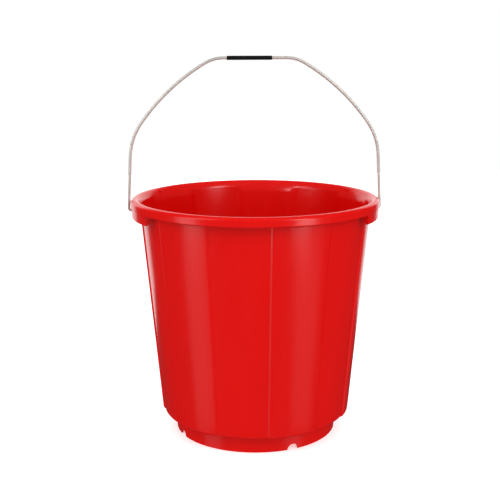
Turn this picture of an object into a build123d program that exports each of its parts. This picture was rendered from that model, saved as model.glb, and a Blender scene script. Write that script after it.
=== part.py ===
from build123d import *
import os
from math import cos, radians, sin

# Round plastic wash bucket with a swinging wire bail.
# Millimetres. The origin is the centre of the foot's underside, +Z is up, and the bail swings
# about an axis parallel to X. Angles round the bucket are measured from +X towards +Y.

# Pail
PAIL_HEIGHT = 270.0
RIM_RADIUS = 139.9
WALL = 2.4

# Foot ring and floor
FOOT_RADIUS = 92.2
FOOT_TOP_RADIUS = 93.0
FOOT_HEIGHT = 21.0
FLOOR_UNDERSIDE = 9.0
FLOOR_THICKNESS = 2.6
NOTCH_RADIUS = 6.5
NOTCH_COUNT = 4
FIRST_NOTCH_ANGLE = 23.0
NOTCH_CUTTER_LENGTH = 9.6

# Tapered body with proud and recessed panels in turn
BODY_FOOT_RADIUS = 107.9
BODY_SLOPE = 0.0925
BODY_EDGE_ROUND = 4.0
PANEL_STEP = 1.8
PROUD_PANELS = 6
PANEL_ANGLE = 30.0
FIRST_PROUD_ANGLE = -11.0
RISER_ANGLE = 1.2
INNER_RISER_SHIFT = 0.375
PANEL_TOP = 265.0

# Rolled rim with its turned-down band
CREST_RADIUS = 135.6
RIM_INNER_RADIUS = 131.2
RIM_INNER_HEIGHT = 268.2
SHOULDER_HEIGHT = 266.8
CREST_MID_INSET = 1.4
CREST_MID_RISE = 1.9
LIP_MID_DROP = 0.48
BAND_BOTTOM = 260.3
FLARE_START = 257.0
FLARE_BOW = 0.8
CHANNEL_INNER_RADIUS = 133.0
CHANNEL_SIDE_HEIGHT = 266.2

# Lugs: a deeper stretch under the band at each pivot, set in from it and turned a little
# from the pivot line
LUG_BOTTOM = 250.0
LUG_INSET = 1.0
LUG_WALL = 1.9
LUG_TURN = -2.0
LUG_HALF_ANGLE = 31.5
RIB_DEPTH = 6.5
RIB_ANGLE = 1.1
RIB_ROUND = 5.0
BOSS_DEPTH = 3.5
BOSS_ANGLE = 7.2
BACKING_RISE = 0.2
PIVOT_HEIGHT = 256.0
PIVOT_HOLE_RADIUS = 2.0
HOLE_CUTTER_LENGTH = 14.0

# Wire bail: headings are degrees from straight up, leaning towards the middle
WIRE_RADIUS = 1.65
HOOK_X = 133.6
HOOK_END = 249.5
HOOK_BEND = 2.6
LEG_X = 142.35
LEG_LEAN = 3.03
LEG_TOP = 315.9
KNEE_RADIUS = 71.0
KNEE_HEADING = 35.7
SHOULDER_RADIUS = 233.8
SHOULDER_HEADING = 59.45
CROWN_RADIUS = 39.75
INWARD = 90.0
OUTWARD = -90.0

# Grip sleeve on the bail's flat top
GRIP_LENGTH = 49.8
GRIP_RADIUS = 2.3
GRIP_BORE_RADIUS = 1.75
GRIP_OFFSET = -6.0
GRIP_END_ROUND = 0.25

CLEAR = 3.0

# Where the full rounds start and end, clear of the lugs, risers and notches
SEAM_ANGLE = 75.0


def body_radius(z):
    """Outer radius of the proud panels at height z."""
    return BODY_FOOT_RADIUS + BODY_SLOPE * (z - FOOT_HEIGHT)


def round_middle(radius):
    """How far the middle of a quarter round stands in from each side of its corner."""
    return radius * (1 - sin(radians(45)))


def turned(outline):
    """Full round about the Z axis from a closed outline in the XZ plane."""
    face = Plane.XZ * make_face(outline)
    return Rot(0, 0, SEAM_ANGLE) * revolve(face, Axis.Z)


def turned_part(outline, degrees):
    """Stretch of a round about the Z axis, centred on +X, from a closed outline."""
    face = Plane.XZ * make_face(outline)
    return Rot(0, 0, -degrees / 2) * revolve(face, Axis.Z, degrees)


def closed_polygon(*points):
    return Polyline(*points, close=True)


def outer_envelope():
    """Recessed body, foot and rolled rim, filled solid above the floor's underside."""
    lug_outer = RIM_RADIUS - LUG_INSET
    lug_inner = lug_outer - LUG_WALL
    foot_inner = FOOT_RADIUS - WALL
    edge_z = FOOT_HEIGHT + BODY_EDGE_ROUND
    edge_radius = body_radius(edge_z) - PANEL_STEP
    edge_inner = edge_radius - BODY_EDGE_ROUND
    skirt_inner = RIM_RADIUS - WALL
    flare_radius = body_radius(FLARE_START) - PANEL_STEP
    channel_top = PAIL_HEIGHT - WALL
    round_mid = round_middle(BODY_EDGE_ROUND)
    foot = Polyline(
        (0, FLOOR_UNDERSIDE),
        (foot_inner, FLOOR_UNDERSIDE),
        (foot_inner, 0),
        (FOOT_RADIUS, 0),
        (FOOT_TOP_RADIUS, FOOT_HEIGHT),
        (edge_inner, FOOT_HEIGHT),
    )
    edge = ThreePointArc(
        (edge_inner, FOOT_HEIGHT),
        (edge_radius - round_mid, FOOT_HEIGHT + round_mid),
        (edge_radius, edge_z),
    )
    body = Polyline(
        (edge_radius, edge_z),
        (flare_radius, FLARE_START),
        (CHANNEL_INNER_RADIUS, CHANNEL_SIDE_HEIGHT),
    )
    channel = ThreePointArc(
        (CHANNEL_INNER_RADIUS, CHANNEL_SIDE_HEIGHT),
        (CREST_RADIUS, channel_top),
        (skirt_inner, CHANNEL_SIDE_HEIGHT),
    )
    band = Polyline(
        (skirt_inner, CHANNEL_SIDE_HEIGHT),
        (skirt_inner, BAND_BOTTOM),
        (lug_inner, BAND_BOTTOM),
        (lug_inner, LUG_BOTTOM),
        (lug_outer, LUG_BOTTOM),
        (lug_outer, BAND_BOTTOM),
        (RIM_RADIUS, BAND_BOTTOM),
        (RIM_RADIUS, SHOULDER_HEIGHT),
    )
    crest = ThreePointArc(
        (RIM_RADIUS, SHOULDER_HEIGHT),
        (RIM_RADIUS - CREST_MID_INSET, SHOULDER_HEIGHT + CREST_MID_RISE),
        (CREST_RADIUS, PAIL_HEIGHT),
    )
    lid = Polyline((CREST_RADIUS, PAIL_HEIGHT), (0, PAIL_HEIGHT), (0, FLOOR_UNDERSIDE))
    return turned([foot, edge, body, channel, band, crest, lid])


def cavity():
    """The recessed inside, from the floor of the foot well to above the flared mouth."""
    floor_top = FLOOR_UNDERSIDE + FLOOR_THICKNESS
    ledge_top = FOOT_HEIGHT + FLOOR_THICKNESS
    well_radius = FOOT_RADIUS - WALL
    ledge_radius = body_radius(ledge_top) - PANEL_STEP - WALL
    flare_radius = body_radius(FLARE_START) - PANEL_STEP - WALL
    flare_mid = (
        (flare_radius + RIM_INNER_RADIUS) / 2 - FLARE_BOW,
        (FLARE_START + RIM_INNER_HEIGHT) / 2,
    )
    crest_mid = ((RIM_INNER_RADIUS + CREST_RADIUS) / 2 - FLARE_BOW / 2, PAIL_HEIGHT - LIP_MID_DROP)
    inside = Polyline(
        (0, floor_top),
        (well_radius, floor_top),
        (FOOT_TOP_RADIUS - WALL, ledge_top),
        (ledge_radius, ledge_top),
        (flare_radius, FLARE_START),
    )
    flare = ThreePointArc(
        (flare_radius, FLARE_START), flare_mid, (RIM_INNER_RADIUS, RIM_INNER_HEIGHT)
    )
    lip = ThreePointArc(
        (RIM_INNER_RADIUS, RIM_INNER_HEIGHT), crest_mid, (CREST_RADIUS, PAIL_HEIGHT)
    )
    above = Polyline(
        (CREST_RADIUS, PAIL_HEIGHT),
        (CREST_RADIUS, PAIL_HEIGHT + CLEAR),
        (0, PAIL_HEIGHT + CLEAR),
        (0, floor_top),
    )
    return turned([inside, flare, lip, above])


def proud_outside():
    """Cone of the proud panels' outer face, with the body's rounded bottom edge."""
    edge_z = FOOT_HEIGHT + BODY_EDGE_ROUND
    edge_radius = body_radius(edge_z)
    edge_inner = edge_radius - BODY_EDGE_ROUND
    round_mid = round_middle(BODY_EDGE_ROUND)
    edge = ThreePointArc(
        (edge_inner, FOOT_HEIGHT),
        (edge_radius - round_mid, FOOT_HEIGHT + round_mid),
        (edge_radius, edge_z),
    )
    rest = Polyline(
        (edge_radius, edge_z),
        (body_radius(PANEL_TOP), PANEL_TOP),
        (0, PANEL_TOP),
        (0, FOOT_HEIGHT),
        (edge_inner, FOOT_HEIGHT),
    )
    return turned([edge, rest])


def proud_inside():
    """Cone of the proud panels' inner face, from the ledge up into the flare."""
    ledge_top = FOOT_HEIGHT + FLOOR_THICKNESS
    return turned(
        closed_polygon(
            (0, ledge_top),
            (body_radius(ledge_top) - WALL, ledge_top),
            (body_radius(PANEL_TOP) - WALL, PANEL_TOP),
            (0, PANEL_TOP),
        )
    )


def panel_plan(z, setback, shift):
    """Plan of one panel's wedge at height z. Its slanted sides run through the risers."""
    proud = body_radius(z) - setback
    recessed = proud - PANEL_STEP
    corners = []
    for side in (-1, 1):
        outer_angle = side * (PANEL_ANGLE / 2 - RISER_ANGLE / 2 - shift)
        inner_angle = side * (PANEL_ANGLE / 2 + RISER_ANGLE / 2 - shift)
        top = Vector(proud * cos(radians(outer_angle)), proud * sin(radians(outer_angle)))
        base = Vector(recessed * cos(radians(inner_angle)), recessed * sin(radians(inner_angle)))
        run = (top - base).normalized()
        corners.append((top + run * CLEAR * 2, base - run * CLEAR))
    (far_a, near_a), (far_b, near_b) = corners
    middle = Vector(proud + CLEAR * 2, 0)
    plan = closed_polygon(near_a, far_a, middle, far_b, near_b)
    return Pos(0, 0, z) * make_face(plan)


def panel_wedges(setback, shift):
    """One wedge for each proud panel, to trim a cone to those panels."""
    bottom = panel_plan(FOOT_HEIGHT - CLEAR, setback, shift)
    top = panel_plan(PANEL_TOP + CLEAR, setback, shift)
    wedge = loft([bottom, top], ruled=True)
    pitch = 360 / PROUD_PANELS
    return [Rot(0, 0, FIRST_PROUD_ANGLE + pitch * n) * wedge for n in range(PROUD_PANELS)]


def between_lugs():
    """The two stretches of deep band that are cut away to leave the lugs."""
    strip = turned_part(
        closed_polygon(
            (RIM_RADIUS - WALL - CLEAR, LUG_BOTTOM - CLEAR),
            (RIM_RADIUS + CLEAR, LUG_BOTTOM - CLEAR),
            (RIM_RADIUS + CLEAR, BAND_BOTTOM),
            (RIM_RADIUS - WALL - CLEAR, BAND_BOTTOM),
        ),
        180 - 2 * LUG_HALF_ANGLE,
    )
    return [Rot(0, 0, LUG_TURN + 90) * strip, Rot(0, 0, LUG_TURN - 90) * strip]


def lug_backing():
    """Behind the +X lug's deep band: its pivot boss and a round-cornered rib at each end."""
    inner = RIM_RADIUS - WALL
    buried = RIM_RADIUS - LUG_INSET - LUG_WALL / 2
    rib_inner = RIM_RADIUS - RIB_DEPTH
    round_mid = round_middle(RIB_ROUND)
    rib_top = PAIL_HEIGHT - WALL + BACKING_RISE
    rib_bottom = LUG_BOTTOM + BACKING_RISE
    rib_round = ThreePointArc(
        (rib_inner + RIB_ROUND, rib_bottom),
        (rib_inner + round_mid, rib_bottom + round_mid),
        (rib_inner, rib_bottom + RIB_ROUND),
    )
    rib_rest = Polyline(
        (rib_inner, rib_bottom + RIB_ROUND),
        (rib_inner, BAND_BOTTOM),
        (body_radius(BAND_BOTTOM) - WALL / 2, BAND_BOTTOM),
        (CHANNEL_INNER_RADIUS, rib_top),
        (inner, rib_top),
        (buried, BAND_BOTTOM + WALL),
        (buried, rib_bottom),
        (rib_inner + RIB_ROUND, rib_bottom),
    )
    rib = turned_part([rib_round, rib_rest], RIB_ANGLE)
    boss = turned_part(
        closed_polygon(
            (RIM_RADIUS - BOSS_DEPTH, rib_bottom),
            (buried, rib_bottom),
            (buried, BAND_BOTTOM + WALL),
            (RIM_RADIUS - BOSS_DEPTH, BAND_BOTTOM + WALL),
        ),
        BOSS_ANGLE,
    )
    rib_place = LUG_HALF_ANGLE - RIB_ANGLE
    return [boss, Rot(0, 0, LUG_TURN + rib_place) * rib, Rot(0, 0, LUG_TURN - rib_place) * rib]


def pivot_hole():
    hole = Cylinder(PIVOT_HOLE_RADIUS, HOLE_CUTTER_LENGTH)
    return Pos(RIM_RADIUS, 0, PIVOT_HEIGHT) * Rot(0, 90, 0) * hole


def foot_notches():
    """Round-topped notches cut up into the foot ring."""
    middle = FOOT_RADIUS - WALL / 2
    cutter = Pos(middle, 0, 0) * Rot(0, 90, 0) * Cylinder(NOTCH_RADIUS, NOTCH_CUTTER_LENGTH)
    pitch = 360 / NOTCH_COUNT
    return [Rot(0, 0, FIRST_NOTCH_ANGLE + pitch * n) * cutter for n in range(NOTCH_COUNT)]


def make_pail():
    outside = outer_envelope()
    proud = proud_outside()
    outside += [proud & wedge for wedge in panel_wedges(0, 0)]
    inside = cavity()
    hollow = proud_inside()
    inside += [hollow & wedge for wedge in panel_wedges(WALL, INNER_RISER_SHIFT)]
    pail = outside - inside - between_lugs()
    pail += lug_backing()
    pail += [Rot(0, 0, 180) * piece for piece in lug_backing()]
    hole = pivot_hole()
    pail -= [hole, Rot(0, 0, 180) * hole]
    pail -= foot_notches()
    return pail


def bend(start, heading, new_heading, radius):
    """Arc that turns a run in the XZ plane from one heading to another, radius < 0 to the right."""
    x, z = start
    centre_x = x - radius * cos(radians(heading))
    centre_z = z - radius * sin(radians(heading))

    def at(angle):
        return (centre_x + radius * cos(radians(angle)), centre_z + radius * sin(radians(angle)))

    end = at(new_heading)
    return ThreePointArc(start, at((heading + new_heading) / 2), end), end


def half_bail_line():
    """Centre line of the +X half of the bail, from its hooked end to the middle of the top."""
    hook_bend_start = (HOOK_X, PIVOT_HEIGHT - HOOK_BEND)
    tail = Line((HOOK_X, HOOK_END), hook_bend_start)
    hook, pin_start = bend(hook_bend_start, 0, OUTWARD, -HOOK_BEND)
    pin_end = (LEG_X - HOOK_BEND, PIVOT_HEIGHT)
    pin = Line(pin_start, pin_end)
    heel, leg_start = bend(pin_end, OUTWARD, LEG_LEAN, HOOK_BEND)
    rise = LEG_TOP - leg_start[1]
    leg_end = (leg_start[0] - rise * sin(radians(LEG_LEAN)) / cos(radians(LEG_LEAN)), LEG_TOP)
    leg = Line(leg_start, leg_end)
    knee, knee_end = bend(leg_end, LEG_LEAN, KNEE_HEADING, KNEE_RADIUS)
    shoulder, shoulder_end = bend(knee_end, KNEE_HEADING, SHOULDER_HEADING, SHOULDER_RADIUS)
    crown, crown_end = bend(shoulder_end, SHOULDER_HEADING, INWARD, CROWN_RADIUS)
    flat = Line(crown_end, (0, crown_end[1]))
    return [tail, hook, pin, heel, leg, knee, shoulder, crown, flat], crown_end


def make_bail():
    line, _ = half_bail_line()
    path = Wire([Plane.XZ * edge for edge in line])
    section = Plane(origin=path @ 0, z_dir=path % 0) * Circle(WIRE_RADIUS)
    half = sweep(section, path=path)
    print("bail volume over section times length", half.volume / (section.area * path.length))
    return half + mirror(half, Plane.YZ)


def make_grip():
    _, (_, top) = half_bail_line()
    sleeve = Cylinder(GRIP_RADIUS, GRIP_LENGTH)
    sleeve = fillet(sleeve.edges(), GRIP_END_ROUND)
    sleeve -= Cylinder(GRIP_BORE_RADIUS, GRIP_LENGTH + CLEAR)
    print("bail centre line height", top)
    return Pos(GRIP_OFFSET, 0, top) * Rot(0, 90, 0) * sleeve


def main():
    os.makedirs("parts", exist_ok=True)
    for name, shape in (("pail", make_pail()), ("bail", make_bail()), ("grip", make_grip())):
        export_step(shape, f"parts/{name}.step")


main()
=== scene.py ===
from math import atan2, ceil, cos, degrees, hypot, pi, radians, sin, tan

import bmesh
import bpy
from bpy.props import FloatProperty, FloatVectorProperty, PointerProperty
from mathutils import Matrix, Vector


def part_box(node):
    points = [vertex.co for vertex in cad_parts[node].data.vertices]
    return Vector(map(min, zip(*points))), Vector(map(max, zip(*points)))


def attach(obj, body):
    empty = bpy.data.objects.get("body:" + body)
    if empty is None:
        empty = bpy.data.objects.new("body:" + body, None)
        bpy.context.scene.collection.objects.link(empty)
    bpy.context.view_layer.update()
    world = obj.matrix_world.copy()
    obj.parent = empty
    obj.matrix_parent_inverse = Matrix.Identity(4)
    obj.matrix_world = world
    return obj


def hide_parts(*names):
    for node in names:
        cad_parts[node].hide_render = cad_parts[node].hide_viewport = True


bl_info = {
    "name": "Wash bucket",
    "version": (1, 0, 0),
    "blender": (4, 5, 0),
    "location": "3D View > Sidebar > Bucket",
    "description": "Makes a moulded wash bucket with its wire bail and grip, and a plain stage",
    "category": "Add Mesh",
}

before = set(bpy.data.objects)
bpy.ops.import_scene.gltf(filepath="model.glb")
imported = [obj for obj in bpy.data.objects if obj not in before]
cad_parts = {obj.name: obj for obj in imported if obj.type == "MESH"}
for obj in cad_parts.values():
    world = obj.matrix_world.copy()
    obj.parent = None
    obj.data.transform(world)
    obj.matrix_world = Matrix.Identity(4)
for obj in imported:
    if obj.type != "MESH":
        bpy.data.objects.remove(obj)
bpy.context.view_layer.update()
PAIL_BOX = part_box("pail")
GRIP_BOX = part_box("grip")

MM = 0.001

# The wall is drawn in columns one degree wide, set on the half degrees, so that every step and
# lug end falls on the edge of a column.
COLUMNS = 360
COLUMN_WIDTH = 360 / COLUMNS
COLUMN_OFFSET = COLUMN_WIDTH / 2
ANGLE_SLACK = 0.1
HEIGHT_SLACK = 0.05 * MM
RING_SLACK = 0.01 * MM
MERGE_WITHIN = 0.001 * MM
SLIVER = 0.003 * MM
RING_SPACING = 12 * MM
CORNER_STEPS = 4
SHARP_ANGLE = 40
CAPTION = "Bucket"


# Small tools

def linear(hex_colour):
    """Linear red, green and blue of an sRGB hex colour."""
    parts = [int(hex_colour[n : n + 2], 16) / 255 for n in (1, 3, 5)]
    return [c / 12.92 if c <= 0.04045 else ((c + 0.055) / 1.055) ** 2.4 for c in parts]


def length(name, description, millimetres):
    """A size property, in metres, from its default in millimetres."""
    return FloatProperty(
        name=name,
        description=description,
        default=millimetres * MM,
        min=0.0,
        precision=5,
        subtype="DISTANCE",
        unit="LENGTH",
    )


def colour(name, description, hex_colour):
    """A colour property from its sRGB hex default."""
    return FloatVectorProperty(
        name=name,
        description=description,
        default=linear(hex_colour),
        min=0.0,
        max=1.0,
        size=3,
        subtype="COLOR",
    )


def bearing(point):
    """Degrees round the bucket's axis, from +X towards +Y."""
    return degrees(atan2(point.y, point.x))


def off_axis(point):
    """Distance from the bucket's axis."""
    return hypot(point.x, point.y)


def start_edit(obj, name):
    """Names a new primitive, sets its place in its mesh and opens it for editing, all selected."""
    obj.name = name
    obj.data.name = name
    bpy.ops.object.transform_apply(location=True, rotation=True, scale=True)
    bpy.ops.object.mode_set(mode="EDIT")
    bpy.ops.mesh.select_all(action="SELECT")


def end_edit():
    """Closes the seams, turns every face outwards and leaves edit mode."""
    bpy.ops.mesh.select_all(action="SELECT")
    bpy.ops.mesh.remove_doubles(threshold=MERGE_WITHIN)
    bpy.ops.mesh.normals_make_consistent(inside=False)
    bpy.ops.object.mode_set(mode="OBJECT")


def choose(kind, test):
    """In edit mode, selects just the vertices, edges or faces whose points all pass a test."""
    mesh = bpy.context.edit_object.data
    bpy.ops.mesh.select_mode(type=kind)
    bpy.ops.mesh.select_all(action="DESELECT")
    form = bmesh.from_edit_mesh(mesh)
    items = {"VERT": form.verts, "EDGE": form.edges, "FACE": form.faces}[kind]
    found = 0
    for item in items:
        points = [item.co] if kind == "VERT" else [corner.co for corner in item.verts]
        if test(points):
            item.select_set(True)
            found += 1
    form.select_flush_mode()
    bmesh.update_edit_mesh(mesh)
    if not found:
        raise RuntimeError(f"nothing found to shape on {bpy.context.edit_object.name}")


def only(obj):
    """Makes obj the only selected object, and the active one."""
    bpy.ops.object.select_all(action="DESELECT")
    obj.select_set(True)
    bpy.context.view_layer.objects.active = obj


def apply_modifier(obj, kind, settings):
    """Adds a modifier with its settings and applies it."""
    modifier = obj.modifiers.new(kind.title(), kind)
    for key, value in settings.items():
        setattr(modifier, key, value)
    only(obj)
    bpy.ops.object.modifier_apply(modifier=modifier.name)


def copy_round(obj, bearings):
    """Copies of obj, each with its own mesh, turned about the bucket's axis to each bearing."""
    copies = []
    for angle in bearings:
        copy = obj.copy()
        copy.data = obj.data.copy()
        copy.data.transform(Matrix.Rotation(radians(angle), 4, "Z"))
        bpy.context.scene.collection.objects.link(copy)
        copies.append(copy)
    bpy.data.objects.remove(obj)
    return copies


def cut_or_join(obj, tools, operation):
    """Joins the tools into one mesh, then adds it to obj or cuts it away."""
    only(tools[0])
    for tool in tools:
        tool.select_set(True)
    if len(tools) > 1:
        bpy.ops.object.join()
    tool = bpy.context.view_layer.objects.active
    settings = {"operation": operation, "object": tool, "solver": "EXACT"}
    apply_modifier(obj, "BOOLEAN", settings)
    bpy.data.objects.remove(tool)


def clear_slivers(obj):
    """Takes out the faces too small to see that a cut leaves behind."""
    only(obj)
    bpy.ops.object.mode_set(mode="EDIT")
    bpy.ops.mesh.select_all(action="SELECT")
    bpy.ops.mesh.dissolve_degenerate(threshold=SLIVER)
    bpy.ops.object.mode_set(mode="OBJECT")


def finish_shading(obj):
    """Smooth over rounds and sharp at real corners, with broad faces kept flat to the eye."""
    only(obj)
    bpy.ops.object.shade_smooth_by_angle(angle=radians(SHARP_ANGLE))
    apply_modifier(obj, "WEIGHTED_NORMAL", {"mode": "FACE_AREA", "keep_sharp": True})


def hand_over(obj, node, body, material):
    """Gives a finished piece its material and body, in place of its CAD node."""
    obj.data.materials.clear()
    obj.data.materials.append(material)
    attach(obj, body)
    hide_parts(node)


# Outlines in (radius, height)

def line(start, end, spacing):
    """Points after start, evenly spaced, up to end."""
    steps = max(1, ceil(hypot(end[0] - start[0], end[1] - start[1]) / spacing))
    return [
        (
            start[0] + (end[0] - start[0]) * n / steps,
            start[1] + (end[1] - start[1]) * n / steps,
        )
        for n in range(1, steps + 1)
    ]


def arc(start, middle, end, steps):
    """Points after start, evenly round the circle through three points, for under half a turn."""
    (ax, ay), (bx, by), (cx, cy) = start, middle, end
    a, b, c = ax * ax + ay * ay, bx * bx + by * by, cx * cx + cy * cy
    double_area = 2 * (ax * (by - cy) + bx * (cy - ay) + cx * (ay - by))
    x = (a * (by - cy) + b * (cy - ay) + c * (ay - by)) / double_area
    y = (a * (cx - bx) + b * (ax - cx) + c * (bx - ax)) / double_area
    radius = hypot(ax - x, ay - y)
    first = atan2(ay - y, ax - x)
    turn = (atan2(cy - y, cx - x) - first + pi) % (2 * pi) - pi
    angles = [first + turn * n / steps for n in range(1, steps + 1)]
    return [(x + radius * cos(angle), y + radius * sin(angle)) for angle in angles]


def run(corners):
    """Outline through (radius, height, rounding) corners, with its first point."""
    points = [corners[0][:2]]
    for before, here, after in zip(corners, corners[1:], corners[2:]):
        middle, rounding = Vector(here[:2]), here[2]
        if not rounding:
            points += line(points[-1], here[:2], RING_SPACING)
            continue
        back = (Vector(before[:2]) - middle).normalized()
        ahead = (Vector(after[:2]) - middle).normalized()
        half_angle = back.angle(ahead) / 2
        reach = rounding / tan(half_angle)
        start, end = middle + back * reach, middle + ahead * reach
        inward = (back + ahead).normalized()
        near = middle + inward * (rounding / sin(half_angle) - rounding)
        points += line(points[-1], tuple(start), RING_SPACING)
        points += arc(tuple(start), tuple(near), tuple(end), CORNER_STEPS)
    return points + line(points[-1], corners[-1][:2], RING_SPACING)


# Properties

class PailSizes(bpy.types.PropertyGroup):
    height: length("Height", "From the floor to the rim's crest", PAIL_BOX[1].z / MM)
    rim_radius: length("Rim radius", "Outside of the rim's band", PAIL_BOX[1].x / MM)
    wall: length("Wall", "Thickness of the moulded wall", 2.4)
    foot_radius: length("Foot radius", "Outside of the foot ring where it rests", 92.2)
    foot_top_radius: length("Foot top radius", "Outside of the foot ring at its top", 93.0)
    foot_height: length("Foot height", "Height of the foot ring", 21.0)
    floor_underside: length("Floor height", "Underside of the raised floor", 9.0)
    floor_thickness: length("Floor thickness", "Thickness of the floor", 2.6)
    notch_radius: length("Notch radius", "Radius of the foot's round notches", 6.5)
    body_radius: length("Body radius", "Proud panels at the foot's top", 107.9)
    body_round: length("Body rounding", "Rounding of the body's bottom edge", 4.0)
    panel_step: length("Panel step", "How far the proud panels stand out", 1.8)
    step_round: length("Step rounding", "Bevel along each panel step", 0.5)
    flare_start: length("Flare start", "Height where the wall starts to flare", 257.0)
    band_bottom: length("Band bottom", "Lower edge of the rim's band", 260.3)
    lug_bottom: length("Lug bottom", "Lower edge of the two lugs", 250.0)
    lug_inset: length("Lug inset", "How far the lugs stand in from the band", 1.0)
    pivot_height: length("Pivot height", "Height of the bail's pivot holes", 256.0)
    pivot_hole: length("Pivot hole", "Radius of the pivot holes", 2.0)
    body_slope: FloatProperty(
        name="Body slope",
        description="Outward run of the wall for each unit of height",
        default=0.0925,
        min=0.0,
        max=0.5,
        precision=4,
    )


class BailSizes(bpy.types.PropertyGroup):
    wire_radius: length("Wire radius", "Radius of the wire", 1.65)
    pivot_height: length("Pivot height", "Height of the pivot axis", 256.0)
    hook_x: length("Hook place", "Hooked end, out from the middle", 133.6)
    hook_end: length("Hook end", "Height of the hooked end's tip", 249.5)
    hook_bend: length("Hook bend", "Bend radius of the hook", 2.6)
    leg_x: length("Leg place", "Foot of the leg, out from the middle", 142.35)
    leg_top: length("Leg top", "Height where the straight leg ends", 315.9)
    knee_bend: length("Knee bend", "Radius of the bend above the leg", 71.0)
    shoulder_bend: length("Shoulder bend", "Radius of the long slanted bend", 233.8)
    crown_bend: length("Crown bend", "Radius of the bend into the flat top", 39.75)


class GripSizes(bpy.types.PropertyGroup):
    bore: length("Bore radius", "Inside of the sleeve", 1.75)
    end_taper: length("End taper", "Length of each tapered end", 0.9)
    end_drop: length("End drop", "How much the radius falls at each end", 0.4)


class Finishes(bpy.types.PropertyGroup):
    pail_red: colour("Pail red", "Body colour of the moulding", "#DA0602")
    pail_deep_red: colour("Pail deep red", "Flow marks in the moulding", "#D10401")
    zinc: colour("Zinc", "Bright zinc on the wire", "#F2EDE6")
    dull_zinc: colour("Dull zinc", "Greyer patches of zinc", "#DCD7CF")
    sleeve_black: colour("Sleeve black", "Grip sleeve", "#0C0B0B")
    floor_white: colour("Floor", "Plain pale floor", "#F4F4F4")


# Materials

def add_node(tree, kind, settings=None, links=None):
    """Adds one node. Settings fill its sockets, by name or number, or its own properties, and
    links join its sockets to outputs."""
    node = tree.nodes.new(kind)
    for key, value in (settings or {}).items():
        if isinstance(key, int) or key in node.inputs:
            node.inputs[key].default_value = value
        else:
            setattr(node, key, value)
    for key, output in (links or {}).items():
        tree.links.new(output, node.inputs[key])
    return node


def new_material(name):
    """A material with a principled shader, as (material, tree, shader, object coordinates)."""
    material = bpy.data.materials.new(name)
    material.use_nodes = True
    tree = material.node_tree
    tree.nodes.clear()
    shader = add_node(tree, "ShaderNodeBsdfPrincipled")
    add_node(tree, "ShaderNodeOutputMaterial", links={"Surface": shader.outputs["BSDF"]})
    place = add_node(tree, "ShaderNodeTexCoord").outputs["Object"]
    return material, tree, shader, place


# Real sizes of the surface grain
FLOW_MARK = 45 * MM
POLISH_MARK = 14 * MM
ZINC_SPANGLE = 5 * MM
ZINC_SHEEN = 2 * MM
SLEEVE_SHEEN = 3 * MM
SLEEVE_LINE = 0.6 * MM
ACRYLIC_GRAIN = 60 * MM
# The peel is really about 1 mm and the draw marks about 0.1 mm: both are drawn larger to show.
PEEL = 3 * MM
DRAW_MARK = 0.8 * MM
# Depths of the relief
PEEL_DEPTH = 0.02 * MM
DRAW_DEPTH = 0.02 * MM
SLEEVE_LINE_DEPTH = 0.03 * MM


def moulded_polypropylene(finishes):
    """Injection-moulded polypropylene: smooth, clean and glossy."""
    material, tree, shader, place = new_material("moulded_polypropylene_red")
    shader.inputs["IOR"].default_value = 1.49
    shader.inputs["Specular IOR Level"].default_value = 0.45
    # Flow marks: slow shifts of red, long up the wall, that keep broad panels from looking flat.
    upright = add_node(tree, "ShaderNodeMapping", {"Scale": (1, 1, 0.2)}, {"Vector": place})
    flow = add_node(
        tree, "ShaderNodeTexNoise", {"Scale": 1 / FLOW_MARK}, {"Vector": upright.outputs[0]}
    )
    red = add_node(
        tree,
        "ShaderNodeMix",
        {"data_type": "RGBA", 6: (*finishes.pail_red, 1), 7: (*finishes.pail_deep_red, 1)},
        {0: flow.outputs["Fac"]},
    )
    tree.links.new(red.outputs[2], shader.inputs["Base Color"])
    # Polish: patches of the mould's finish, which make long highlights waver in sharpness.
    polish = add_node(
        tree,
        "ShaderNodeTexNoise",
        {"Scale": 1 / POLISH_MARK, "Detail": 4.0},
        {"Vector": upright.outputs[0]},
    )
    gloss = add_node(
        tree,
        "ShaderNodeMapRange",
        {"To Min": 0.17, "To Max": 0.24},
        {"Value": polish.outputs["Fac"]},
    )
    tree.links.new(gloss.outputs["Result"], shader.inputs["Roughness"])
    # Orange peel: soft dimples that break the edges of reflections.
    peel = add_node(tree, "ShaderNodeTexNoise", {"Scale": 1 / PEEL}, {"Vector": place})
    dimples = add_node(
        tree,
        "ShaderNodeBump",
        {"Distance": PEEL_DEPTH, "Strength": 0.35},
        {"Height": peel.outputs["Fac"]},
    )
    tree.links.new(dimples.outputs["Normal"], shader.inputs["Normal"])
    return material


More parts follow.
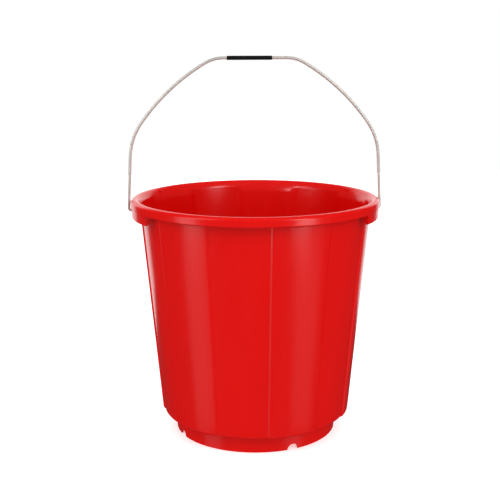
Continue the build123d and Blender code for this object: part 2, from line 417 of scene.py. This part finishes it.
def galvanised_steel(finishes):
    """Drawn steel wire with a hot-dip zinc coat: satin and pale grey."""
    material, tree, shader, place = new_material("galvanised_drawn_steel")
    # The zinc's thin grey oxide scatters light, so the wire is pale even where it mirrors dark.
    shader.inputs["Metallic"].default_value = 0.7
    # Spangle: bright and dull zinc crystals, which show as a faint mottle along the wire.
    spangle = add_node(
        tree, "ShaderNodeTexNoise", {"Scale": 1 / ZINC_SPANGLE, "Detail": 3.0}, {"Vector": place}
    )
    zinc = add_node(
        tree,
        "ShaderNodeMix",
        {"data_type": "RGBA", 6: (*finishes.zinc, 1), 7: (*finishes.dull_zinc, 1)},
        {0: spangle.outputs["Fac"]},
    )
    tree.links.new(zinc.outputs[2], shader.inputs["Base Color"])
    # Sheen: satin that shifts from spot to spot, so no highlight runs unbroken.
    sheen = add_node(tree, "ShaderNodeTexNoise", {"Scale": 1 / ZINC_SHEEN}, {"Vector": place})
    satin = add_node(
        tree,
        "ShaderNodeMapRange",
        {"To Min": 0.5, "To Max": 0.6},
        {"Value": sheen.outputs["Fac"]},
    )
    tree.links.new(satin.outputs["Result"], shader.inputs["Roughness"])
    # Draw marks: fine relief left by the die, which roughens the highlight's edge.
    marks = add_node(tree, "ShaderNodeTexNoise", {"Scale": 1 / DRAW_MARK}, {"Vector": place})
    relief = add_node(
        tree,
        "ShaderNodeBump",
        {"Distance": DRAW_DEPTH, "Strength": 0.15},
        {"Height": marks.outputs["Fac"]},
    )
    tree.links.new(relief.outputs["Normal"], shader.inputs["Normal"])
    return material


def extruded_vinyl(finishes):
    """Extruded black vinyl sleeve: dull, with lines along its length."""
    material, tree, shader, place = new_material("extruded_vinyl_black")
    shader.inputs["Base Color"].default_value = (*finishes.sleeve_black, 1)
    shader.inputs["IOR"].default_value = 1.53
    shader.inputs["Specular IOR Level"].default_value = 0.25
    # Sheen: handled and unhandled spots, which keep the black from looking like one flat tone.
    sheen = add_node(tree, "ShaderNodeTexNoise", {"Scale": 1 / SLEEVE_SHEEN}, {"Vector": place})
    dull = add_node(
        tree, "ShaderNodeMapRange", {"To Min": 0.42, "To Max": 0.56}, {"Value": sheen.outputs["Fac"]}
    )
    tree.links.new(dull.outputs["Result"], shader.inputs["Roughness"])
    # Die lines: fine ridges that run along the sleeve and streak its highlight.
    along = add_node(tree, "ShaderNodeMapping", {"Scale": (0.05, 1, 1)}, {"Vector": place})
    lines = add_node(
        tree, "ShaderNodeTexNoise", {"Scale": 1 / SLEEVE_LINE}, {"Vector": along.outputs[0]}
    )
    ridges = add_node(
        tree,
        "ShaderNodeBump",
        {"Distance": SLEEVE_LINE_DEPTH, "Strength": 0.4},
        {"Height": lines.outputs["Fac"]},
    )
    tree.links.new(ridges.outputs["Normal"], shader.inputs["Normal"])
    return material


def backlit_floor(finishes):
    """Opal acrylic sheet on a studio light table: white, with its shadows thinned from below."""
    material, tree, shader, place = new_material("backlit_opal_acrylic")
    shader.inputs["Base Color"].default_value = (*finishes.floor_white, 1)
    shader.inputs["Emission Color"].default_value = (*finishes.floor_white, 1)
    shader.inputs["Emission Strength"].default_value = 0.55
    # Grain: barely seen shifts in how matt the sheet is.
    marks = add_node(tree, "ShaderNodeTexNoise", {"Scale": 1 / ACRYLIC_GRAIN}, {"Vector": place})
    matt = add_node(
        tree, "ShaderNodeMapRange", {"To Min": 0.8, "To Max": 0.95}, {"Value": marks.outputs["Fac"]}
    )
    tree.links.new(matt.outputs["Result"], shader.inputs["Roughness"])
    return material


# Pail

PROUD_PANELS = 6
FIRST_PROUD = -11.0
PROUD_HALF = 14.5
STEP_ABOVE_BAND = 1.0 * MM

# Shares of the panel step at degrees from a panel's middle: sharp outside, eased inside.
SHARP_STEP = ((PROUD_HALF, 1.0),)
EASED_STEP = (
    (PROUD_HALF - COLUMN_WIDTH, 1.0),
    (PROUD_HALF, 0.75),
    (PROUD_HALF + COLUMN_WIDTH, 0.25),
)

# Rounding of the outline's corners, from the underside round to the well
UNDERSIDE_ROUND = 1.5 * MM
REST_ROUND = 0.6 * MM
FOOT_TOP_ROUND = 1.0 * MM
FLARE_ROUND = 3.0 * MM
CHANNEL_ROUND = 1.0 * MM
BAND_ROUND = 0.5 * MM
LEDGE_ROUND = 3.0 * MM
LEDGE_EDGE_ROUND = 1.5 * MM
WELL_ROUND = 2.5 * MM

# Rim: the crest, the lip inside it, and the points its curves pass through
CREST_RADIUS = 135.6 * MM
CREST_MID_INSET = 1.4 * MM
CREST_MID_DROP = 1.3 * MM
LIP_RADIUS = 131.2 * MM
LIP_DROP = 1.8 * MM
LIP_MID_INSET = 0.4 * MM
LIP_MID_DROP = 0.48 * MM
FLARE_HOLLOW = 0.8 * MM
SHOULDER_DROP = 3.2 * MM
CHANNEL_RADIUS = 133.0 * MM
CHANNEL_DROP = 2.6 * MM

# Lugs, and the ribs and boss that back them
LUG_HALF = 31.5
LUG_TURN = -2.0
LUG_SHOULDER = 0.3 * MM
LUG_ROUND = 0.4 * MM
BACKING_RISE = 0.2 * MM
RIB_DEPTH = 6.5 * MM
RIB_WIDTH = 2.6 * MM
RIB_ROUND = 5.0 * MM
RIB_TOP_DROP = 2.0 * MM
BOSS_DEPTH = 3.5 * MM
BOSS_WIDTH = 17.0 * MM
BOSS_ROUND = 0.6 * MM
BOSS_OVERLAP = 2.4 * MM

# Notches and cutters
FIRST_NOTCH = 23.0
NOTCH_COUNT = 4
NOTCH_CUTTER = 9.6 * MM
HOLE_CUTTER = 9.0 * MM
CUTTER_SIDES = 48

HUB_RADIUS = 10 * MM
PAST_FOOT = 2 * MM


def proud_radius(sizes, height):
    """Outside of the proud panels at a height."""
    return sizes.body_radius + sizes.body_slope * (height - sizes.foot_height)


def outside_outline(sizes):
    """Underside, foot, body, channel and the band up to its shoulder."""
    foot_inner = sizes.foot_radius - sizes.wall
    skirt_inner = sizes.rim_radius - sizes.wall
    channel_top = sizes.height - CHANNEL_DROP
    edge = sizes.body_radius - sizes.panel_step
    flare = proud_radius(sizes, sizes.flare_start) - sizes.panel_step
    return run([
        (HUB_RADIUS, sizes.floor_underside, 0),
        (foot_inner, sizes.floor_underside, UNDERSIDE_ROUND),
        (foot_inner, 0, REST_ROUND),
        (sizes.foot_radius, 0, REST_ROUND),
        (sizes.foot_top_radius, sizes.foot_height, FOOT_TOP_ROUND),
        (edge, sizes.foot_height, sizes.body_round),
        (flare, sizes.flare_start, FLARE_ROUND),
        (CHANNEL_RADIUS, channel_top, CHANNEL_ROUND),
        (skirt_inner, channel_top, CHANNEL_ROUND),
        (skirt_inner, sizes.band_bottom, 0),
        (sizes.rim_radius, sizes.band_bottom, BAND_ROUND),
        (sizes.rim_radius, sizes.height - SHOULDER_DROP, 0),
    ])


def rim_outline(sizes):
    """From the band's shoulder over the crest and lip and down the flare."""
    top = sizes.height
    shoulder = (sizes.rim_radius, top - SHOULDER_DROP)
    crest = (CREST_RADIUS, top)
    lip = (LIP_RADIUS, top - LIP_DROP)
    flare = (
        proud_radius(sizes, sizes.flare_start) - sizes.panel_step - sizes.wall,
        sizes.flare_start,
    )
    over_shoulder = (sizes.rim_radius - CREST_MID_INSET, top - CREST_MID_DROP)
    over_lip = ((CREST_RADIUS + LIP_RADIUS) / 2 - LIP_MID_INSET, top - LIP_MID_DROP)
    points = arc(shoulder, over_shoulder, crest, steps=8)
    points += arc(crest, over_lip, lip, steps=6)
    middle = ((lip[0] + flare[0]) / 2 - FLARE_HOLLOW, (lip[1] + flare[1]) / 2)
    return points + arc(lip, middle, flare, steps=10)


def inside_outline(sizes, start):
    """From the foot of the flare down the wall, over the ledge and into the well."""
    ledge_height = sizes.foot_height + sizes.floor_thickness
    ledge = proud_radius(sizes, ledge_height) - sizes.panel_step - sizes.wall
    floor_height = sizes.floor_underside + sizes.floor_thickness
    return run([
        (*start, 0),
        (ledge, ledge_height, LEDGE_ROUND),
        (sizes.foot_top_radius - sizes.wall, ledge_height, LEDGE_EDGE_ROUND),
        (sizes.foot_radius - sizes.wall, floor_height, WELL_ROUND),
        (HUB_RADIUS, floor_height, 0),
    ])[1:]


def extrude_ring(before, after):
    """Extrudes the selected ring about the Z axis from one (radius, height) to the next."""
    bpy.ops.mesh.extrude_region_move(
        TRANSFORM_OT_translate={"value": (0, 0, after[1] - before[1])}
    )
    scale = after[0] / before[0]
    bpy.ops.transform.resize(value=(scale, scale, 1), center_override=(0, 0, after[1]))


def on_ring(radius, height):
    """A test for points that all lie on one ring about the axis."""
    return lambda points: all(
        abs(point.z - height) < HEIGHT_SLACK and abs(off_axis(point) - radius) < HEIGHT_SLACK
        for point in points
    )


def from_panel_middle(point):
    """Degrees from the middle of the nearest proud panel."""
    pitch = 360 / PROUD_PANELS
    return abs((bearing(point) - FIRST_PROUD + pitch / 2) % pitch - pitch / 2)


def push_out_panels(sizes, rings, setback, step):
    """Moves the proud panels out, ring by ring. The step dies away where the wall flares."""
    for radius, height in rings:
        room = min(sizes.panel_step, proud_radius(sizes, height) - setback - radius)
        if room < HEIGHT_SLACK:
            continue
        edge = -1.0
        for half_angle, share in step:
            near, edge = edge, half_angle + ANGLE_SLACK

            def here(points):
                point = points[0]
                return (
                    abs(point.z - height) < RING_SLACK
                    and abs(off_axis(point) - radius) < HEIGHT_SLACK
                    and near < from_panel_middle(point) < edge
                )

            choose("VERT", here)
            scale = 1 + share * room / radius
            bpy.ops.transform.resize(value=(scale, scale, 1), center_override=(0, 0, height))


def soften_steps(sizes):
    """Rounds the long corners of each panel step, which is one column wide."""
    pitch = 360 / PROUD_PANELS / 2
    first = FIRST_PROUD + PROUD_HALF

    def on_step(points):
        low, high = sorted(points, key=lambda point: point.z)
        if high.z - low.z < HEIGHT_SLACK or high.z > sizes.band_bottom + STEP_ABOVE_BAND:
            return False
        if low.z < sizes.foot_height - HEIGHT_SLACK:
            return False
        for point in points:
            away = (bearing(point) - first + pitch / 2) % pitch - pitch / 2
            on_edge = min(abs(away), abs(away - COLUMN_WIDTH)) < ANGLE_SLACK
            depth = proud_radius(sizes, point.z) - off_axis(point)
            if not on_edge or depth < -HEIGHT_SLACK:
                return False
        return True

    choose("EDGE", on_step)
    bpy.ops.mesh.bevel(
        offset=sizes.step_round, segments=3, affect="EDGES", clamp_overlap=False
    )


def drop_lugs(sizes):
    """Draws the flat underside of the band in a little and down into a lug at each side."""

    def lug_foot(points):
        return all(
            abs(point.z - sizes.band_bottom) < HEIGHT_SLACK
            and off_axis(point) > CREST_RADIUS
            and abs((bearing(point) - LUG_TURN + 90) % 180 - 90) < LUG_HALF + ANGLE_SLACK
            for point in points
        )

    choose("FACE", lug_foot)
    flat_radius = sizes.rim_radius - BAND_ROUND
    lug_radius = sizes.rim_radius - sizes.lug_inset
    shoulder_height = sizes.band_bottom - LUG_SHOULDER
    extrude_ring((flat_radius, sizes.band_bottom), (lug_radius, shoulder_height))
    extrude_ring((lug_radius, shoulder_height), (lug_radius, sizes.lug_bottom))
    bpy.ops.mesh.region_to_loop()
    bpy.ops.mesh.bevel(offset=LUG_ROUND, segments=2, affect="EDGES")


def block(name, low, high):
    """A cube primitive between two corners, open for editing."""
    low, high = Vector(low), Vector(high)
    bpy.ops.object.select_all(action="DESELECT")
    bpy.ops.mesh.primitive_cube_add(size=1, location=(low + high) / 2, scale=high - low)
    start_edit(bpy.context.object, name)
    return bpy.context.object


def lug_middle(sizes):
    """Radius of the middle of a lug's wall, where its backing is buried."""
    return sizes.rim_radius - sizes.lug_inset - (sizes.wall - BAND_ROUND) / 2


def make_rib(sizes):
    """A lug's end rib: its lower inner corner is round, and its top reaches in to the wall."""
    inner = sizes.rim_radius - RIB_DEPTH
    bottom = sizes.lug_bottom + BACKING_RISE
    low = (inner, -RIB_WIDTH / 2, bottom)
    high = (lug_middle(sizes), RIB_WIDTH / 2, sizes.height - RIB_TOP_DROP)
    rib = block("rib", low, high)
    bpy.ops.mesh.bisect(plane_co=(0, 0, sizes.band_bottom), plane_no=(0, 0, 1))
    choose("FACE", lambda points: all(
        abs(point.x - inner) < HEIGHT_SLACK and point.z > sizes.band_bottom - HEIGHT_SLACK
        for point in points
    ))
    reach = proud_radius(sizes, sizes.band_bottom) - sizes.wall / 2 - inner
    bpy.ops.mesh.extrude_region_move(TRANSFORM_OT_translate={"value": (reach, 0, 0)})
    choose("EDGE", lambda points: all(
        abs(point.x - inner) < HEIGHT_SLACK and abs(point.z - bottom) < HEIGHT_SLACK
        for point in points
    ))
    bpy.ops.mesh.bevel(offset=RIB_ROUND, segments=10, affect="EDGES")
    end_edit()
    return rib


def make_boss(sizes):
    """The thicker pad behind a lug, round its pivot hole."""
    low = (sizes.rim_radius - BOSS_DEPTH, -BOSS_WIDTH / 2, sizes.lug_bottom + BACKING_RISE)
    high = (lug_middle(sizes), BOSS_WIDTH / 2, sizes.band_bottom + BOSS_OVERLAP)
    boss = block("boss", low, high)
    choose("EDGE", lambda points: all(abs(point.x - low[0]) < HEIGHT_SLACK for point in points))
    bpy.ops.mesh.bevel(offset=BOSS_ROUND, segments=3, affect="EDGES")
    end_edit()
    return boss


def make_drill(name, radius, depth, place):
    """A round cutter that lies along X at a place."""
    bpy.ops.object.select_all(action="DESELECT")
    bpy.ops.mesh.primitive_cylinder_add(
        vertices=CUTTER_SIDES, radius=radius, depth=depth, location=place, rotation=(0, pi / 2, 0)
    )
    start_edit(bpy.context.object, name)
    end_edit()
    return bpy.context.object


def draw_wall(sizes):
    """Draws the outline up the outside, over the rim and down inside, and closes both hubs."""
    outside = outside_outline(sizes)
    rim = rim_outline(sizes)
    inside = inside_outline(sizes, rim[-1])
    bpy.ops.object.select_all(action="DESELECT")
    bpy.ops.mesh.primitive_circle_add(
        vertices=COLUMNS,
        radius=outside[0][0],
        fill_type="NOTHING",
        location=(0, 0, outside[0][1]),
        rotation=(0, 0, radians(COLUMN_OFFSET)),
    )
    pail = bpy.context.object
    start_edit(pail, "pail_moulding")
    for before, after in zip(outside, outside[1:]):
        extrude_ring(before, after)
    past_foot = sizes.foot_radius + PAST_FOOT
    wall = [point for point in outside if past_foot < point[0] < CHANNEL_RADIUS]
    push_out_panels(sizes, wall, 0, SHARP_STEP)
    soften_steps(sizes)
    choose("EDGE", on_ring(*outside[-1]))
    within = rim + inside
    for before, after in zip([outside[-1]] + within, within):
        extrude_ring(before, after)
    hollow = [point for point in within if point[0] > past_foot]
    push_out_panels(sizes, hollow, sizes.wall, EASED_STEP)
    for hub_height in (outside[0][1], inside[-1][1]):
        choose("EDGE", on_ring(HUB_RADIUS, hub_height))
        bpy.ops.mesh.extrude_edges_move(TRANSFORM_OT_translate={"value": (0, 0, 0)})
        bpy.ops.mesh.merge(type="CENTER")
    return pail


def back_lugs(pail, sizes):
    """Joins on each lug's two end ribs and the boss behind its pivot hole."""
    ribs = []
    place = LUG_HALF - degrees(RIB_WIDTH / 2 / sizes.rim_radius)
    for side in (LUG_TURN, LUG_TURN + 180):
        ribs += copy_round(make_rib(sizes), [side + place, side - place])
    bosses = copy_round(make_boss(sizes), [0, 180])
    cut_or_join(pail, ribs + bosses, "UNION")


def cut_openings(pail, sizes):
    """Cuts the two pivot holes and the notches round the foot."""
    hole_place = (lug_middle(sizes), 0, sizes.pivot_height)
    holes = copy_round(make_drill("hole", sizes.pivot_hole, HOLE_CUTTER, hole_place), [0, 180])
    notch_place = (sizes.foot_radius - sizes.wall / 2, 0, 0)
    pitch = 360 / NOTCH_COUNT
    notches = copy_round(
        make_drill("notch", sizes.notch_radius, NOTCH_CUTTER, notch_place),
        [FIRST_NOTCH + pitch * n for n in range(NOTCH_COUNT)],
    )
    cut_or_join(pail, holes + notches, "DIFFERENCE")


def make_pail(sizes):
    """The whole moulding: wall, lugs, backing and openings."""
    pail = draw_wall(sizes)
    drop_lugs(sizes)
    end_edit()
    back_lugs(pail, sizes)
    cut_openings(pail, sizes)
    clear_slivers(pail)
    finish_shading(pail)
    return pail


# Bail: headings are degrees from straight up, leaning towards the middle

LEG_LEAN = 3.03
KNEE_HEADING = 35.7
SHOULDER_HEADING = 59.45
INWARD = 90.0
OUTWARD = -90.0
WIRE_SIDES = 24
WIRE_SPACING = 6 * MM
TIP_ROUND = 0.35 * MM
MIDDLE_MERGE = 0.01 * MM


def draw_wire(start, end):
    """Extrudes the selected section in a straight run."""
    points = line(start, end, WIRE_SPACING)
    for before, after in zip([start] + points, points):
        move = (after[0] - before[0], 0, after[1] - before[1])
        bpy.ops.mesh.extrude_region_move(TRANSFORM_OT_translate={"value": move})
    return end


def bend_wire(start, heading, new_heading, radius, steps):
    """Spins the selected section round a bend, radius < 0 to the right. Returns where it ends."""
    centre_x = start[0] - radius * cos(radians(heading))
    centre_z = start[1] - radius * sin(radians(heading))
    bpy.ops.mesh.spin(
        steps=steps,
        dupli=False,
        angle=radians(new_heading - heading),
        use_auto_merge=False,
        center=(centre_x, 0, centre_z),
        axis=(0, 1, 0),
    )
    end_angle = radians(new_heading)
    return centre_x + radius * cos(end_angle), centre_z + radius * sin(end_angle)


def make_bail(sizes):
    """Bends the +X half of the wire from its hooked end to the middle, then mirrors it."""
    place = (sizes.hook_x, sizes.hook_end)
    bpy.ops.object.select_all(action="DESELECT")
    bpy.ops.mesh.primitive_circle_add(
        vertices=WIRE_SIDES,
        radius=sizes.wire_radius,
        fill_type="NOTHING",
        location=(place[0], 0, place[1]),
    )
    bail = bpy.context.object
    start_edit(bail, "bail_wire")
    bend = sizes.hook_bend
    place = draw_wire(place, (sizes.hook_x, sizes.pivot_height - bend))
    place = bend_wire(place, 0, OUTWARD, -bend, steps=10)
    place = draw_wire(place, (sizes.leg_x - bend, sizes.pivot_height))
    place = bend_wire(place, OUTWARD, LEG_LEAN, bend, steps=10)
    rise = sizes.leg_top - place[1]
    place = draw_wire(place, (place[0] - rise * tan(radians(LEG_LEAN)), sizes.leg_top))
    place = bend_wire(place, LEG_LEAN, KNEE_HEADING, sizes.knee_bend, steps=14)
    place = bend_wire(place, KNEE_HEADING, SHOULDER_HEADING, sizes.shoulder_bend, steps=20)
    place = bend_wire(place, SHOULDER_HEADING, INWARD, sizes.crown_bend, steps=12)
    draw_wire(place, (0, place[1]))
    choose("EDGE", lambda points: all(
        abs(point.z - sizes.hook_end) < HEIGHT_SLACK for point in points
    ))
    bpy.ops.mesh.edge_face_add()
    bpy.ops.mesh.bevel(offset=TIP_ROUND, segments=3, affect="EDGES")
    end_edit()
    halves = {"use_axis": (True, False, False), "merge_threshold": MIDDLE_MERGE}
    apply_modifier(bail, "MIRROR", halves)
    finish_shading(bail)
    return bail


# Grip

GRIP_SIDES = 40
GRIP_SPACING = 4 * MM
TAPER_STEPS = 5
TAPER_BULGE = 0.3


def make_grip(sizes):
    """A sleeve with tapered ends, drawn out along the wire from ring to ring."""
    low, high = GRIP_BOX
    radius = (high.z - low.z) / 2
    middle = (high.z + low.z) / 2
    tip = radius - sizes.end_drop
    start, end = low.x + sizes.end_taper, high.x - sizes.end_taper
    bulge = radius - TAPER_BULGE * sizes.end_drop
    rings = [(low.x, sizes.bore), (low.x, tip)]
    rise = (low.x + TAPER_BULGE * sizes.end_taper, bulge)
    rings += arc((low.x, tip), rise, (start, radius), TAPER_STEPS)
    rings += line(rings[-1], (end, radius), GRIP_SPACING)
    fall = (high.x - TAPER_BULGE * sizes.end_taper, bulge)
    rings += arc((end, radius), fall, (high.x, tip), TAPER_STEPS)
    rings += [(high.x, sizes.bore)]
    rings += line(rings[-1], rings[0], GRIP_SPACING)
    bpy.ops.object.select_all(action="DESELECT")
    bpy.ops.mesh.primitive_circle_add(
        vertices=GRIP_SIDES,
        radius=sizes.bore,
        fill_type="NOTHING",
        location=(low.x, 0, middle),
        rotation=(0, pi / 2, 0),
    )
    grip = bpy.context.object
    start_edit(grip, "grip_sleeve")
    for before, after in zip(rings, rings[1:]):
        move = (after[0] - before[0], 0, 0)
        bpy.ops.mesh.extrude_region_move(TRANSFORM_OT_translate={"value": move})
        scale = after[1] / before[1]
        bpy.ops.transform.resize(value=(1, scale, scale), center_override=(after[0], 0, middle))
    end_edit()
    finish_shading(grip)
    return grip


# Stage

CAMERA_PLACE = Vector((-70.1, -1112.7, 444.7)) * MM
CAMERA_YAW = 3.3
CAMERA_PITCH = 11.987
CAMERA_ROLL = -0.158
CAMERA_LENS = 71.71
CAMERA_SENSOR = 36.0
WORLD_FILL = 0.62
WORLD_REFLECTED = 0.04
FLOOR_SIZE = 4.4
FLOOR_DROP = 0.2 * MM
WHITE = (1, 1, 1, 1)

# Lights as (azimuth, distance, height, aim height, width, tall, power) in degrees, metres and
# watts. The softboxes light it from the sides, the back, above and below. The low cards are
# faint, for a soft streak on the wall, and the high cards make bright spots inside the rim.
LIGHTS = {
    "left_softbox": (-65, 1.7, 0.9, 0.9, 0.55, 2.4, 8.5),
    "right_softbox": (41, 1.7, 0.9, 0.9, 0.5, 2.4, 12),
    "left_low_card": (-66, 1.7, -0.65, -0.65, 0.8, 0.7, 0.9),
    "right_low_card": (52, 1.7, -0.65, -0.65, 0.8, 0.7, 0.7),
    "left_high_card": (-50, 1.7, 1.15, 0.26, 0.4, 0.6, 6),
    "right_high_card": (38, 1.7, 1.15, 0.26, 0.4, 0.6, 5),
    "back_softbox": (180, 2.2, 0.5, 0.135, 3.4, 2.4, 30),
    "top_softbox": (0, 0.3, 2.4, 0.135, 3.2, 3.2, 18),
    "under_softbox": (0, 0.3, -1.2, 0.135, 2.0, 2.0, 5),
}
UNREFLECTED_LIGHTS = ("top_softbox", "under_softbox")


def make_camera():
    """Looks down on the bucket from just above the rim."""
    pitch, yaw = radians(CAMERA_PITCH), radians(CAMERA_YAW)
    ahead = Vector((cos(pitch) * sin(yaw), cos(pitch) * cos(yaw), -sin(pitch)))
    right = Vector((cos(yaw), -sin(yaw), 0))
    up = right.cross(ahead)
    roll_cos, roll_sin = cos(radians(CAMERA_ROLL)), sin(radians(CAMERA_ROLL))
    right, up = right * roll_cos + up * roll_sin, up * roll_cos - right * roll_sin
    data = bpy.data.cameras.new("camera")
    data.lens = CAMERA_LENS
    data.sensor_width = CAMERA_SENSOR
    camera = bpy.data.objects.new("camera", data)
    turn = Matrix((right, up, -ahead)).transposed().to_4x4()
    camera.matrix_world = Matrix.Translation(CAMERA_PLACE) @ turn
    bpy.context.scene.collection.objects.link(camera)
    bpy.context.scene.camera = camera


def make_softbox(name, azimuth, distance, height, aim_height, width, tall, power):
    """An area light aimed at the bucket's axis. Azimuth 0 is the camera's side, 90 is +X."""
    angle = radians(azimuth)
    middle = Vector((0, 0, aim_height))
    place = Vector((sin(angle) * distance, -cos(angle) * distance, height))
    data = bpy.data.lights.new(name, "AREA")
    data.shape = "RECTANGLE"
    data.size = width
    data.size_y = tall
    data.energy = power
    light = bpy.data.objects.new(name, data)
    light.location = place
    light.rotation_euler = (middle - place).to_track_quat("-Z", "Y").to_euler()
    light.visible_camera = False
    light.visible_glossy = name not in UNREFLECTED_LIGHTS
    bpy.context.scene.collection.objects.link(light)


def make_world():
    """White to the camera, soft fill on matt surfaces and dim in reflections."""
    world = bpy.data.worlds.new("studio")
    world.use_nodes = True
    tree = world.node_tree
    tree.nodes.clear()
    rays = add_node(tree, "ShaderNodeLightPath")
    white = add_node(tree, "ShaderNodeBackground", {"Color": WHITE, "Strength": 1.0})
    fill = add_node(tree, "ShaderNodeBackground", {"Color": WHITE, "Strength": WORLD_FILL})
    dim = add_node(tree, "ShaderNodeBackground", {"Color": WHITE, "Strength": WORLD_REFLECTED})
    lit = add_node(tree, "ShaderNodeMixShader", links={
        0: rays.outputs["Is Glossy Ray"], 1: fill.outputs[0], 2: dim.outputs[0]})
    seen = add_node(tree, "ShaderNodeMixShader", links={
        0: rays.outputs["Is Camera Ray"], 1: lit.outputs[0], 2: white.outputs[0]})
    add_node(tree, "ShaderNodeOutputWorld", links={"Surface": seen.outputs[0]})
    # Sampled only by the rays above, so that reflections really see the dim world.
    world.cycles.sampling_method = "NONE"
    bpy.context.scene.world = world


def make_floor(finishes):
    """A floor that the camera sees, and that neither lights the bucket nor shows in it."""
    bpy.ops.object.select_all(action="DESELECT")
    bpy.ops.mesh.primitive_plane_add(size=FLOOR_SIZE, location=(0, 0, -FLOOR_DROP))
    floor = bpy.context.object
    start_edit(floor, "floor")
    bpy.ops.object.mode_set(mode="OBJECT")
    floor.data.materials.append(backlit_floor(finishes))
    floor.visible_diffuse = False
    floor.visible_glossy = False
    floor.visible_shadow = False


# Operators, panel and registration

class BUCKET_OT_pail(bpy.types.Operator):
    """Make the moulded pail in place of its CAD node"""

    bl_idname = "bucket.pail"
    bl_label = "Pail"

    def execute(self, context):
        scene = context.scene
        pail = make_pail(scene.bucket_pail)
        hand_over(pail, "pail", "pail", moulded_polypropylene(scene.bucket_finish))
        return {"FINISHED"}


class BUCKET_OT_bail(bpy.types.Operator):
    """Bend the wire bail in place of its CAD node"""

    bl_idname = "bucket.bail"
    bl_label = "Bail"

    def execute(self, context):
        scene = context.scene
        bail = make_bail(scene.bucket_bail)
        hand_over(bail, "bail", "bail", galvanised_steel(scene.bucket_finish))
        return {"FINISHED"}


class BUCKET_OT_grip(bpy.types.Operator):
    """Make the grip sleeve in place of its CAD node"""

    bl_idname = "bucket.grip"
    bl_label = "Grip"

    def execute(self, context):
        scene = context.scene
        grip = make_grip(scene.bucket_grip)
        hand_over(grip, "grip", "grip", extruded_vinyl(scene.bucket_finish))
        return {"FINISHED"}


class BUCKET_OT_stage(bpy.types.Operator):
    """Set out the floor, lights and camera"""

    bl_idname = "bucket.stage"
    bl_label = "Stage"

    def execute(self, context):
        context.scene.view_settings.view_transform = "Standard"
        make_floor(context.scene.bucket_finish)
        make_world()
        for name, settings in LIGHTS.items():
            make_softbox(name, *settings)
        make_camera()
        return {"FINISHED"}


OPERATORS = (BUCKET_OT_pail, BUCKET_OT_bail, BUCKET_OT_grip, BUCKET_OT_stage)


class BUCKET_PT_panel(bpy.types.Panel):
    bl_label = "Wash bucket"
    bl_idname = "BUCKET_PT_panel"
    bl_space_type = "VIEW_3D"
    bl_region_type = "UI"
    bl_category = CAPTION

    def draw(self, context):
        for operator in OPERATORS:
            self.layout.operator(operator.bl_idname)
        for group in GROUPS:
            box = self.layout.box()
            for prop in GROUPS[group].__annotations__:
                box.prop(getattr(context.scene, group), prop)


GROUPS = {
    "bucket_pail": PailSizes,
    "bucket_bail": BailSizes,
    "bucket_grip": GripSizes,
    "bucket_finish": Finishes,
}


def register():
    for group, kind in GROUPS.items():
        bpy.utils.register_class(kind)
        setattr(bpy.types.Scene, group, PointerProperty(type=kind))
    for kind in (*OPERATORS, BUCKET_PT_panel):
        bpy.utils.register_class(kind)


def unregister():
    for kind in (BUCKET_PT_panel, *reversed(OPERATORS)):
        bpy.utils.unregister_class(kind)
    for group, kind in reversed(GROUPS.items()):
        delattr(bpy.types.Scene, group)
        bpy.utils.unregister_class(kind)


def main():
    register()
    bpy.ops.bucket.pail()
    bpy.ops.bucket.bail()
    bpy.ops.bucket.grip()
    bpy.ops.bucket.stage()


if __name__ == "__main__":
    main()
